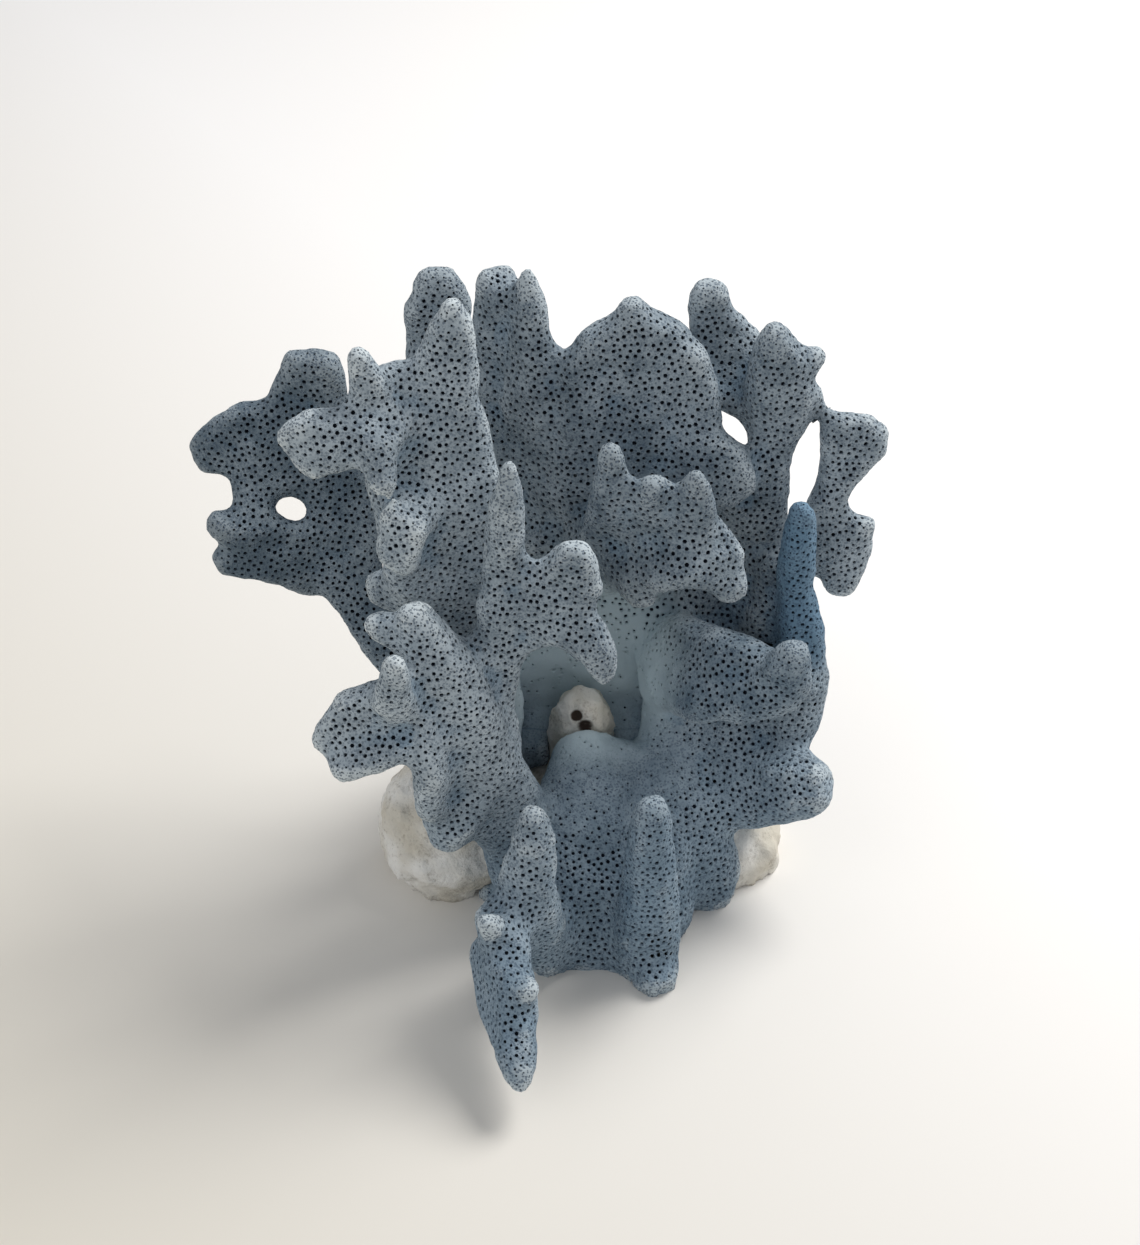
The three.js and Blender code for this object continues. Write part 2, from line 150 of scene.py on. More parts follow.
floor = make_floor()
make_light("window", place=(0.45, 0.35, 0.75), size=0.45, power=7.5, colour=(1.0, 0.98, 0.95))
make_light("fill", place=(-0.6, -0.5, 0.6), size=0.8, power=1.6, colour=(0.93, 0.96, 1.0))
make_world(colour=(0.96, 0.97, 1.0, 1), strength=0.42)
bpy.context.scene.view_settings.view_transform = "Standard"
print("floor, two lights and a sky")

# %% [markdown]
# ## Small helpers
# Blender's tools mostly work as modifiers. A helper applies a modifier and hands back a plain mesh, so each
# later step reads as one line. Another one adds a node to a shader or geometry tree and fills its sockets.

# %% Define the helpers
def object_of(name, mesh):
    thing = bpy.data.objects.new(name, mesh)
    bpy.context.collection.objects.link(thing)
    return thing


def applied(thing):
    """A plain mesh of the object with its modifiers, which are then taken off."""
    graph = bpy.context.evaluated_depsgraph_get()
    mesh = bpy.data.meshes.new_from_object(thing.evaluated_get(graph))
    thing.modifiers.clear()
    thing.data = mesh
    return thing


def remeshed(thing, voxel):
    modifier = thing.modifiers.new("remesh", "REMESH")
    modifier.mode = "VOXEL"
    modifier.voxel_size = voxel
    return applied(thing)


def smoothed(thing, steps):
    modifier = thing.modifiers.new("smooth", "SMOOTH")
    modifier.factor = 0.5
    modifier.iterations = steps
    return applied(thing)


def places_of(mesh):
    flat = np.empty(len(mesh.vertices) * 3, dtype=np.float32)
    mesh.vertices.foreach_get("co", flat)
    return flat.reshape(-1, 3)


def swollen(thing, distance):
    """Moves every vertex along its normal: outwards for a positive distance."""
    mesh = thing.data
    normals = np.empty(len(mesh.vertices) * 3, dtype=np.float32)
    mesh.vertex_normals.foreach_get("vector", normals)
    moved = places_of(mesh) + normals.reshape(-1, 3) * distance
    mesh.vertices.foreach_set("co", moved.ravel())
    mesh.update()
    return thing


def store(mesh, name, values):
    """Keeps one number for each vertex in a named attribute."""
    layer = mesh.attributes.get(name) or mesh.attributes.new(name, "FLOAT", "POINT")
    layer.data.foreach_set("value", np.asarray(values, dtype=np.float32))


def read(mesh, name):
    values = np.empty(len(mesh.vertices), dtype=np.float32)
    mesh.attributes[name].data.foreach_get("value", values)
    return values


def search_tree(mesh):
    """Finds the nearest place on a mesh quickly."""
    return BVHTree.FromPolygons([v.co for v in mesh.vertices], [tuple(p.vertices) for p in mesh.polygons])


def add_node(tree, kind, inputs=None, **settings):
    """A new node. Inputs are filled by name or number, with a value or with a link from a socket."""
    node = tree.nodes.new(kind)
    for name, value in settings.items():
        setattr(node, name, value)
    for key, value in (inputs or {}).items():
        if isinstance(value, bpy.types.NodeSocket):
            tree.links.new(value, node.inputs[key])
        else:
            node.inputs[key].default_value = value
    return node


def maths(tree, operation, *values):
    kind = "ShaderNodeMath"
    return add_node(tree, kind, dict(enumerate(values)), operation=operation).outputs[0]


def ramp(tree, value, low, high, to_low=0.0, to_high=1.0):
    """Takes a value from the range low..high to the range to_low..to_high, smoothly and clamped."""
    inputs = {"Value": value, "From Min": low, "From Max": high, "To Min": to_low, "To Max": to_high}
    return add_node(tree, "ShaderNodeMapRange", inputs, interpolation_type="SMOOTHSTEP").outputs["Result"]


print("helpers ready")

# %% [markdown]
# ## One skin over all the branches
# Living coral has no seams where a plate leaves the trunk: the skeleton flows round. The CAD branches are
# separate solids with thin gaps at their forks. They are joined, swollen a little, remeshed with voxels so
# that gaps and creases fill, and shrunk back. This closing leaves a fillet in each inner corner, and keeps
# the outer size.

# %% Join the branches and close the creases
CORAL_NODES = [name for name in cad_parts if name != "limestone"]
VOXEL = 0.95 * MM
CLOSING = 0.8 * MM
MERGE_WITHIN = 0.001 * MM


def merged_copy(names):
    """One mesh from several CAD nodes. Their loose triangles are merged first."""
    form = bmesh.new()
    for name in names:
        form.from_mesh(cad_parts[name].data)
    bmesh.ops.remove_doubles(form, verts=form.verts, dist=MERGE_WITHIN)
    mesh = bpy.data.meshes.new("merged")
    form.to_mesh(mesh)
    form.free()
    return mesh


def flowing_skin():
    skin = object_of("coral skin", merged_copy(CORAL_NODES))
    remeshed(skin, VOXEL)
    smoothed(skin, 3)
    swollen(skin, CLOSING)
    remeshed(skin, VOXEL)
    swollen(skin, -CLOSING)
    smoothed(skin, 4)
    return remeshed(skin, VOXEL)


skin = flowing_skin()
print("skin faces:", len(skin.data.polygons))

# %% [markdown]
# ## Lumps, ripples and masks
# No plate is flat or of even thickness. A Geometry Nodes tree moves the skin along its normals with two
# sizes of noise. It also measures how far each point stands out from its blurred surroundings. That value
# is high on rims and tips and low in creases, and later drives the pores and the colours.

# %% Build the tree that weathers a surface
def geometry_tree(name, inputs):
    """A geometry tree with named inputs: name -> (socket type, value)."""
    tree = bpy.data.node_groups.new(name, "GeometryNodeTree")
    tree.interface.new_socket("Geometry", in_out="INPUT", socket_type="NodeSocketGeometry")
    for label, (kind, value) in inputs.items():
        socket = tree.interface.new_socket(label, in_out="INPUT", socket_type=kind)
        socket.default_value = value
    tree.interface.new_socket("Geometry", in_out="OUTPUT", socket_type="NodeSocketGeometry")
    start = tree.nodes.new("NodeGroupInput")
    end = tree.nodes.new("NodeGroupOutput")
    return tree, start.outputs, end.inputs


def along_normal(tree, amount):
    normal = add_node(tree, "GeometryNodeInputNormal").outputs[0]
    return add_node(tree, "ShaderNodeVectorMath", {0: normal, "Scale": amount}, operation="SCALE").outputs[0]


def noise_height(tree, size, height, seed):
    """A height in metres, up or down, from 3D noise whose waves are about size metres long."""
    where = add_node(tree, "GeometryNodeInputPosition").outputs[0]
    scale = maths(tree, "DIVIDE", 1.0, size)
    inputs = {"Vector": where, "W": seed, "Scale": scale, "Detail": 1.0, "Roughness": 0.5}
    noise = add_node(tree, "ShaderNodeTexNoise", inputs, noise_dimensions="4D").outputs[0]
    return maths(tree, "MULTIPLY", maths(tree, "SUBTRACT", noise, 0.5), height)


def weather_tree():
    number = "NodeSocketFloat"
    tree, given, out = geometry_tree(
        "Weathered surface",
        {
            "Lump size": (number, 11 * MM),
            "Lump height": (number, 2.4 * MM),
            "Ripple size": (number, 3.6 * MM),
            "Ripple height": (number, 1.3 * MM),
            "Seed": (number, 1.0),
        },
    )
    lumps = noise_height(tree, given["Lump size"], given["Lump height"], given["Seed"])
    ripples = noise_height(tree, given["Ripple size"], given["Ripple height"], given["Seed"])
    offset = along_normal(tree, maths(tree, "ADD", lumps, ripples))
    moved = add_node(tree, "GeometryNodeSetPosition", {"Geometry": given["Geometry"], "Offset": offset})
    tree.links.new(moved.outputs[0], out[0])
    return tree


def with_tree(thing, tree, inputs=None):
    """Runs a geometry tree on the object and applies it. A modifier's input is set by its identifier."""
    modifier = thing.modifiers.new(tree.name, "NODES")
    modifier.node_group = tree
    for item in tree.interface.items_tree:
        if item.in_out == "INPUT" and item.name in (inputs or {}):
            modifier[item.identifier] = inputs[item.name]
    return applied(thing)


FLAT_BELOW = 1.3 * MM


def flat_underside(thing):
    """The colony was sawn off flat: what the noise moved there goes back onto the cut."""
    places = places_of(thing.data)
    places[places[:, 2] < FLAT_BELOW, 2] = 0
    thing.data.vertices.foreach_set("co", places.ravel())
    thing.data.update()
    return thing


WEATHER = weather_tree()
with_tree(skin, WEATHER, {"Seed": 3.0})
flat_underside(skin)
print("weathered, vertices:", len(skin.data.vertices))

# %% [markdown]
# The second tree blurs the positions over the skin. How far a point stands out from its blurred place, along
# its normal, is its relief in millimetres. It is kept in an attribute that later steps read.

# %% Build the tree that measures rims and creases
def relief_tree():
    tree, given, out = geometry_tree("Rims and creases", {"Reach": ("NodeSocketInt", 14)})
    where = add_node(tree, "GeometryNodeInputPosition").outputs[0]
    blurred = add_node(tree, "GeometryNodeBlurAttribute", data_type="FLOAT_VECTOR")
    tree.links.new(where, [s for s in blurred.inputs if s.enabled and s.name == "Value"][0])
    tree.links.new(given["Reach"], blurred.inputs["Iterations"])
    blur = [s for s in blurred.outputs if s.enabled][0]
    normal = add_node(tree, "GeometryNodeInputNormal").outputs[0]
    apart = add_node(tree, "ShaderNodeVectorMath", {0: where, 1: blur}, operation="SUBTRACT").outputs[0]
    along = add_node(tree, "ShaderNodeVectorMath", {0: apart, 1: normal}, operation="DOT_PRODUCT")
    stands_out = along.outputs["Value"]
    inputs = {"Geometry": given["Geometry"], "Name": "relief", "Value": maths(tree, "DIVIDE", stands_out, MM)}
    stored = add_node(tree, "GeometryNodeStoreNamedAttribute", inputs, data_type="FLOAT", domain="POINT")
    tree.links.new(stored.outputs[0], out[0])
    return tree


RELIEF = relief_tree()
with_tree(skin, RELIEF)
print("relief in mm, 5, 50 and 95 percent:", np.percentile(read(skin.data, "relief"), [5, 50, 95]).round(2))

# %% [markdown]
# ## The pores
# Blue coral is known by its pores: round pits about a millimetre wide, evenly spread and never in rows.
# Points spread by Poisson disks have just that look, because each keeps its distance from the next. A small
# tapered cup stands on every point, facing along the normal, and a Boolean cuts all of them out of the
# skin. So the pits are real, and show on every outline. They are smaller on the rims, and few and small on
# the old smooth skeleton in the hollow and on the mound in front of it.

# %% Mark the skin that nobody sees
NEAR_ROCK = 2.2 * MM


def open_skin(mesh):
    """1 on open coral, and 0 where it grew against the limestone or was sawn off."""
    tree = search_tree(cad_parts["limestone"].data)
    hidden = [v.co.z < MM or tree.find_nearest(v.co, NEAR_ROCK)[3] is not None for v in mesh.vertices]
    return 1.0 - np.array(hidden, dtype=np.float32)


store(skin.data, "open", open_skin(skin.data))
print("open share of the skin:", read(skin.data, "open").mean().round(2))

# %% [markdown]
# A cutter is a cup: a cone cut off at both ends, wide above the skin and narrow at the bottom of the pit. The
# tree spreads the points, gives each cup its size from the relief, the distance to the hollow and chance, and
# ends in one mesh with every cup in it.

# %% Build the tree that sets the pore cutters
PORE_SPACING = 1.2 * MM
PORE_RADIUS = 0.44 * MM
PORE_DEPTH = 0.9 * MM
PORE_SIDES = 6
CUP_HEIGHT = 1.4  # these three are shares of the depth or of the radius
CUP_TOP = 1.12
CUP_BOTTOM = 0.66
MOST_PORES = 2500000.0  # per square metre, far more than the spacing lets in
HOLLOW = (11 * MM, 13 * MM, 39 * MM)
OLD_SKELETON = (15 * MM, 29 * MM)  # nearer to the hollow pores are few, farther off there are all
OLD_SHARE = 0.35  # of the pores, on the old skeleton
OLD_SIZE = 0.6
RIM_RELIEF = (0.25, 0.8)
RIM_SIZE = 0.5
LEAST_SIZE = 0.75
MOST_SIZE = 1.15


def attribute(tree, name):
    return add_node(tree, "GeometryNodeInputNamedAttribute", {"Name": name}, data_type="FLOAT").outputs[0]


def pore_cup(tree, radius, depth):
    """A closed tapered cup, upright on the origin: wider above the skin, narrower at its bottom."""
    height = maths(tree, "MULTIPLY", depth, CUP_HEIGHT)
    inputs = {
        "Vertices": PORE_SIDES,
        "Radius Top": maths(tree, "MULTIPLY", radius, CUP_TOP),
        "Radius Bottom": maths(tree, "MULTIPLY", radius, CUP_BOTTOM),
        "Depth": height,
    }
    cone = add_node(tree, "GeometryNodeMeshCone", inputs, fill_type="NGON").outputs["Mesh"]
    down = add_node(tree, "ShaderNodeCombineXYZ", {"Z": maths(tree, "MULTIPLY", depth, -1.0)}).outputs[0]
    return add_node(tree, "GeometryNodeTransform", {"Geometry": cone, "Translation": down}).outputs[0]


def pore_tree(material):
    number = "NodeSocketFloat"
    tree, given, out = geometry_tree(
        "Pore cutters",
        {
            "Spacing": (number, PORE_SPACING),
            "Radius": (number, PORE_RADIUS),
            "Depth": (number, PORE_DEPTH),
            "Seed": ("NodeSocketInt", 5),
        },
    )
    where = add_node(tree, "GeometryNodeInputPosition").outputs[0]
    far = add_node(tree, "ShaderNodeVectorMath", {0: where, 1: HOLLOW}, operation="DISTANCE").outputs["Value"]
    young = ramp(tree, far, *OLD_SKELETON, OLD_SHARE, 1.0)
    spread = add_node(
        tree,
        "GeometryNodeDistributePointsOnFaces",
        {
            "Mesh": given["Geometry"],
            "Distance Min": given["Spacing"],
            "Density Max": MOST_PORES,
            "Density Factor": maths(tree, "MULTIPLY", young, attribute(tree, "open")),
            "Seed": given["Seed"],
        },
        distribute_method="POISSON",
    )
    rim_size = ramp(tree, attribute(tree, "relief"), *RIM_RELIEF, 1.0, RIM_SIZE)
    old_size = ramp(tree, far, *OLD_SKELETON, OLD_SIZE, 1.0)
    any_size = add_node(tree, "FunctionNodeRandomValue", {2: LEAST_SIZE, 3: MOST_SIZE}, data_type="FLOAT")
    chance = [s for s in any_size.outputs if s.enabled][0]
    size = maths(tree, "MULTIPLY", maths(tree, "MULTIPLY", rim_size, old_size), chance)
    cup = pore_cup(tree, given["Radius"], given["Depth"])
    inputs = {
        "Points": spread.outputs["Points"],
        "Instance": cup,
        "Rotation": spread.outputs["Rotation"],
        "Scale": size,
    }
    cups = add_node(tree, "GeometryNodeInstanceOnPoints", inputs).outputs[0]
    real = add_node(tree, "GeometryNodeRealizeInstances", {0: cups}).outputs[0]
    painted = add_node(tree, "GeometryNodeSetMaterial", {"Geometry": real, "Material": material}).outputs[0]
    tree.links.new(painted, out[0])
    return tree


print("a pore is", 2 * PORE_RADIUS / MM, "mm wide and", PORE_DEPTH / MM, "mm deep")

# %% [markdown]
# One Boolean takes all cups out of the skin at once. An uncut copy of the skin is kept to measure from.

# %% Cut the pores
def pore_cutters(skin, material):
    cutters = object_of("pore cutters", skin.data.copy())
    with_tree(cutters, pore_tree(material))
    return cutters


def cut_out(thing, cutters):
    modifier = thing.modifiers.new("cut", "BOOLEAN")
    modifier.operation = "DIFFERENCE"
    modifier.object = cutters
    modifier.solver = "MANIFOLD"
    applied(thing)
    bpy.data.objects.remove(cutters)
    return thing


coral = bpy.data.materials.new("blue coral")
skin.data.materials.clear()
skin.data.materials.append(coral)
whole_skin = skin.data.copy()
cutters = pore_cutters(skin, coral)
print("pores:", len(cutters.data.vertices) // (2 * PORE_SIDES))
cut_out(skin, cutters)
print("skin with pores, faces:", len(skin.data.polygons))

# %% [markdown]
# ## What the finish needs to know
# The colour of this coral follows its form. Pits are painted dark at the bottom, partly their own navy and
# partly painted shade, creases get painted shade, rims are paler, and some branches are greyer or bluer than
# others. Each vertex of the cut skin gets four numbers for that. Its depth is its distance from the uncut
# skin. Its relief is read from the nearest place of the uncut skin. Its tone says how pale its branch is and
# its blue how blue, and both are blurred over the skin, so that no branch ends in a hard line.

# %% Say how pale and how blue each branch is
TONES = {
    "left_front_plate": 0.78,
    "left_branch": 0.9,
    "front_finger": 0.5,
    "front_branch": 0.62,
    "trunk": 0.55,
    "centre_finger": 0.55,
    "folded_plate": 0.55,
    "rear_left_plate": 0.5,
    "rear_left_branch": 0.18,
    "round_plate": 0.42,
    "crown_plate": 0.4,
    "right_shelf": 0.3,
    "right_finger": 0.35,
    "right_branch": 0.45,
    "outer_right_branch": 0.6,
}
BLUEST = {"right_finger": 0.8, "front_finger": 0.35, "right_shelf": 0.25, "trunk": 0.1}


def branch_finder():
    """Finds the CAD branch nearest to a point."""
    corners = []
    faces = []
    owners = []
    for name in CORAL_NODES:
        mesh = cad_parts[name].data
        first = len(corners)
        corners.extend(v.co.copy() for v in mesh.vertices)
        faces.extend([first + i for i in p.vertices] for p in mesh.polygons)
        owners.extend([name] * len(mesh.polygons))
    tree = BVHTree.FromPolygons(corners, faces)
    return lambda point: owners[tree.find_nearest(point)[2]]


def blur_tree(name):
    tree, given, out = geometry_tree("Blurred " + name, {"Reach": ("NodeSocketInt", 40)})
    blurred = add_node(tree, "GeometryNodeBlurAttribute", {"Iterations": given["Reach"]}, data_type="FLOAT")
    tree.links.new(attribute(tree, name), [s for s in blurred.inputs if s.enabled and s.name == "Value"][0])
    result = [s for s in blurred.outputs if s.enabled][0]
    inputs = {"Geometry": given["Geometry"], "Name": name, "Value": result}
    stored = add_node(tree, "GeometryNodeStoreNamedAttribute", inputs, data_type="FLOAT", domain="POINT")
    tree.links.new(stored.outputs[0], out[0])
    return tree


def look_up(cut, whole):
    """For each vertex of the cut skin: its distance to the whole one, and the nearest vertex of that."""
    faces = [tuple(p.vertices) for p in whole.polygons]
    tree = BVHTree.FromPolygons([v.co for v in whole.vertices], faces)
    far = []
    near = []
    for vertex in cut.vertices:
        _, _, face, distance = tree.find_nearest(vertex.co)
        far.append(distance / MM)
        near.append(faces[face][0])
    return far, near


print("tones:", len(TONES))

# %% [markdown]
# The numbers are worked out on the uncut skin, blurred there, and handed to the cut skin.

# %% Measure the cut skin
find_branch = branch_finder()
owners = [find_branch(v.co) for v in whole_skin.vertices]
store(whole_skin, "tone", [TONES[name] for name in owners])
store(whole_skin, "blue", [BLUEST.get(name, 0.0) for name in owners])
toned = object_of("toned", whole_skin)
with_tree(toned, blur_tree("tone"))
with_tree(toned, blur_tree("blue"))
depth, nearest = look_up(skin.data, toned.data)
store(skin.data, "depth", depth)
for name in ("relief", "tone", "blue"):
    store(skin.data, name, read(toned.data, name)[nearest])
bpy.data.objects.remove(toned)
print("deepest pit in mm:", round(max(depth), 2))

# %% [markdown]
# ## Back to one piece for each branch
# Each CAD branch needs a piece of its own that stands for it. Every face of the cut skin goes to the
# nearest branch. Where a piece was parted from its neighbour it gets a lid, hidden inside the coral, so
# each piece is closed. The lid first dips under the skin, at most half way to the other side of the plate,
# and is then a fan round a hub. Of 125 places for the hub, the one is taken from which the fan is best
# covered by coral, because the fan of a bent plate could come out at the surface. Each piece keeps the
# normals of the whole skin, so that no line shows where two pieces meet.

# %% Close the rims of a piece
LID_DEPTH = 2.0 * MM
JUST_BELOW = 0.1 * MM
COVERED = 0.3 * MM  # deeper than this, a fan is covered well enough
HUB_SHARES = (-0.5, -0.25, 0.0, 0.25, 0.5)
FAN_SHARES = (0.2, 0.4, 0.6, 0.8)
MOST_SPOKES = 60


def clean_rims(form):
    """Parts a vertex where two rims touch, so that every rim is one plain loop."""
    for vertex in list(form.verts):
        rims = [edge for edge in vertex.link_edges if edge.is_boundary]
        if len(rims) > 2:
            bmesh.utils.vert_separate(vertex, rims)


def rims_of(form):
    """The open edges, sorted into loops."""
    left = dict.fromkeys(edge for edge in form.edges if edge.is_boundary)
    loops = []
    while left:
        waiting = [left.popitem()[0]]
        loop = []
        while waiting:
            edge = waiting.pop()
            loop.append(edge)
            for other in [o for vertex in edge.verts for o in vertex.link_edges if o in left]:
                if other in left:
                    del left[other]
                    waiting.append(other)
        loops.append(loop)
    return loops


SKIN_TREE = search_tree(whole_skin)


def depth_in_coral(point):
    """How deep a point lies inside the uncut skin. Outside it, the depth is negative."""
    place, normal, _, distance = SKIN_TREE.find_nearest(point)
    return distance if (place - point).dot(normal) > 0 else -distance


def sunk_place(vertex):
    """The place of a rim's vertex below the skin: at most half way to the other side of the plate."""
    below = vertex.co - vertex.normal * JUST_BELOW
    thick = SKIN_TREE.ray_cast(below, -vertex.normal)[3] or LID_DEPTH
    return vertex.co - vertex.normal * min(LID_DEPTH, 0.5 * thick)


def hub_of(corners):
    """The place near the middle of a rim from which the fan stays deepest in the coral."""
    middle = sum((vertex.co for vertex in corners), Vector()) / len(corners)
    outwards = sum((vertex.normal for vertex in corners), Vector()) / len(corners)
    reach = sum((vertex.co - middle).length for vertex in corners) / len(corners)
    steps = [reach * share for share in HUB_SHARES]
    start = middle - outwards * reach * 0.6
    places = [start + Vector(offset) for offset in itertools.product(steps, repeat=3)]
    spokes = [sunk_place(vertex) for vertex in corners[:: 1 + len(corners) // MOST_SPOKES]]

    def cover(place):
        on_fan = [spoke.lerp(place, share) for spoke in spokes for share in FAN_SHARES]
        return sum(min(depth_in_coral(point), COVERED) for point in on_fan)

    return max(places, key=cover)


def close_rims(form):
    for loop in rims_of(form):
        corners = list(dict.fromkeys(vertex for edge in loop for vertex in edge.verts))
        sunk = {vertex: form.verts.new(sunk_place(vertex), vertex) for vertex in corners}
        hub = form.verts.new(hub_of(corners), corners[0])
        for edge in loop:
            corner = edge.link_loops[0]
            first = corner.link_loop_next.vert
            second = corner.vert
            form.faces.new((first, second, sunk[second], sunk[first]))
            form.faces.new((sunk[first], sunk[second], hub))


print("a lid dips at most", LID_DEPTH / MM, "mm")

# %% [markdown]
# Now every branch is cut loose, closed and given the normals of the whole skin.

# %% Part the skin into branches
SHARP_ANGLE = math.radians(42)


def corner_counts(mesh):
    counts = np.empty(len(mesh.polygons), dtype=np.int32)
    mesh.polygons.foreach_get("loop_total", counts)
    return counts


def shade(mesh):
    mesh.shade_smooth()
    mesh.set_sharp_from_angle(angle=SHARP_ANGLE)


def corner_normals(mesh):
    shade(mesh)
    flat = np.empty(len(mesh.loops) * 3, dtype=np.float32)
    mesh.corner_normals.foreach_get("vector", flat)
    return flat.reshape(-1, 3)


def part_of_skin(name, mine, normals):
    form = bmesh.new()
    form.from_mesh(skin.data)
    others = [face for face, keep in zip(form.faces, mine) if not keep]
    bmesh.ops.delete(form, geom=others, context="FACES")
    clean_rims(form)
    close_rims(form)
    still_open = sum(not edge.is_manifold for edge in form.edges)
    mesh = bpy.data.meshes.new(name + "_skin")
    form.to_mesh(mesh)
    form.free()
    mesh.materials.append(coral)
    mesh.shade_smooth()
    kept = normals[np.repeat(mine, corner_counts(skin.data))]
    lids = np.zeros((len(mesh.loops) - len(kept), 3), dtype=np.float32)
    mesh.normals_split_custom_set(np.concatenate([kept, lids]).tolist())
    print(name, "triangles", triangles(mesh), "open edges", still_open)
    return object_of(name + "_skin", mesh)


def triangles(mesh):
    return sum(len(p.vertices) - 2 for p in mesh.polygons)


def part_skin():
    normals = corner_normals(skin.data)
    labels = np.array([CORAL_NODES.index(find_branch(p.center)) for p in skin.data.polygons])
    return {name: part_of_skin(name, labels == i, normals) for i, name in enumerate(CORAL_NODES)}


branches = part_skin()
bpy.data.objects.remove(skin)
print("all triangles:", sum(triangles(piece.data) for piece in branches.values()))

# %% [markdown]
# ## The trunk in two halves
# The trunk has so many pores that its mesh would be too heavy for one piece. A Boolean with a large block
# saws it into a front and a back half. The cut is flat, so both halves stay closed and meet exactly.

# %% Saw the trunk in two
TRUNK_SPLIT = 22 * MM  # in Y
FAR_AWAY = 400 * MM


def block(low, high):
    form = bmesh.new()
    bmesh.ops.create_cube(form, size=1.0)
    for vertex in form.verts:
        vertex.co = [high[i] if vertex.co[i] > 0 else low[i] for i in range(3)]
    mesh = bpy.data.meshes.new("block")
    form.to_mesh(mesh)
    form.free()
    return object_of("block", mesh)


def half_of_trunk(name, low_y, high_y):
    half = object_of(name, branches["trunk"].data.copy())
    cut_out(half, block((-FAR_AWAY, low_y, -FAR_AWAY), (FAR_AWAY, high_y, FAR_AWAY)))
    shade(half.data)
    print(name, "triangles", triangles(half.data))
    return half


trunk_halves = [
    half_of_trunk("trunk_front_skin", TRUNK_SPLIT, FAR_AWAY),
    half_of_trunk("trunk_back_skin", -FAR_AWAY, TRUNK_SPLIT),
]
bpy.data.objects.remove(branches.pop("trunk"))

# %% [markdown]
# ## The limestone
# The rock under the colony is cream-coloured reef limestone. It is rough from wave wear and boring
# animals, with dents and a few dark holes. The CAD lump is remeshed finely and gets stronger and sharper
# noise than the coral. The stub that stands in the hollow has two bored holes, cut with a Boolean.

# %% Make the limestone
STUB_HOLES = [(Vector((10.0, 13.6, 37.2)) * MM, 1.7 * MM), (Vector((8.2, 14.8, 39.6)) * MM, 1.2 * MM)]
ROUGH_VOXEL = 0.9 * MM
FINE_VOXEL = 0.8 * MM
LARGE_DENTS = {"Seed": 8.0, "Lump size": 7 * MM, "Lump height": 2.6 * MM}
SMALL_DENTS = {"Seed": 2.0, "Lump size": 2.6 * MM, "Lump height": 1.2 * MM, "Ripple size": 1.5 * MM}


def bored_hole(place, radius):
    form = bmesh.new()
    bmesh.ops.create_icosphere(form, subdivisions=2, radius=radius)
    bmesh.ops.translate(form, vec=place, verts=form.verts)
    mesh = bpy.data.meshes.new("bored hole")
    form.to_mesh(mesh)
    form.free()
    return object_of("bored hole", mesh)


def make_limestone():
    rock = object_of("limestone_rock", merged_copy(["limestone"]))
    remeshed(rock, ROUGH_VOXEL)
    smoothed(rock, 4)
    for place, radius in STUB_HOLES:
        cut_out(rock, bored_hole(place, radius))
    remeshed(rock, FINE_VOXEL)
    with_tree(rock, WEATHER, LARGE_DENTS)
    with_tree(rock, WEATHER, SMALL_DENTS)
    flat_underside(rock)
    with_tree(rock, RELIEF)
    rock.data.shade_smooth()
    return rock


rock = make_limestone()
print("limestone triangles:", triangles(rock.data))

# %% [markdown]
# ## Shader groups
# Grain is the fine roughness that both the coral and the rock show when looked at closely. It is built once
# as a node group with named inputs. It gives a mask for the colour and a height for the bump.

# %% Build the grain group
def shader_group(name, inputs, outputs):
    tree = bpy.data.node_groups.new(name, "ShaderNodeTree")
    for label, value in inputs.items():
        socket = tree.interface.new_socket(label, in_out="INPUT", socket_type="NodeSocketFloat")
        socket.default_value = value
    for label, kind in outputs.items():
        tree.interface.new_socket(label, in_out="OUTPUT", socket_type=kind)
    start = tree.nodes.new("NodeGroupInput")
    end = tree.nodes.new("NodeGroupOutput")
    return tree, start.outputs, end.inputs


def object_place(tree):
    return add_node(tree, "ShaderNodeTexCoord").outputs["Object"]


def noise(tree, size, detail=2.0, roughness=0.5):
    """A value round 0.5, with waves about size metres long. Size may be a link or a number."""
    scale = maths(tree, "DIVIDE", 1.0, size)
    inputs = {"Vector": object_place(tree), "Scale": scale, "Detail": detail, "Roughness": roughness}
    return add_node(tree, "ShaderNodeTexNoise", inputs).outputs[0]


def grain_group():
    tree, given, out = shader_group(
        "Grain",
        {"Size": 0.5 * MM},
        {"Shade": "NodeSocketFloat", "Height": "NodeSocketFloat"},
    )
    fine = noise(tree, given["Size"], detail=3.0, roughness=0.65)
    coarse = noise(tree, maths(tree, "MULTIPLY", given["Size"], 5.0), detail=2.0)
    shade = maths(tree, "ADD", maths(tree, "MULTIPLY", fine, 0.6), maths(tree, "MULTIPLY", coarse, 0.4))
    tree.links.new(shade, out["Shade"])
    tree.links.new(fine, out["Height"])
    return tree


GRAIN = grain_group()
print("grain group ready")
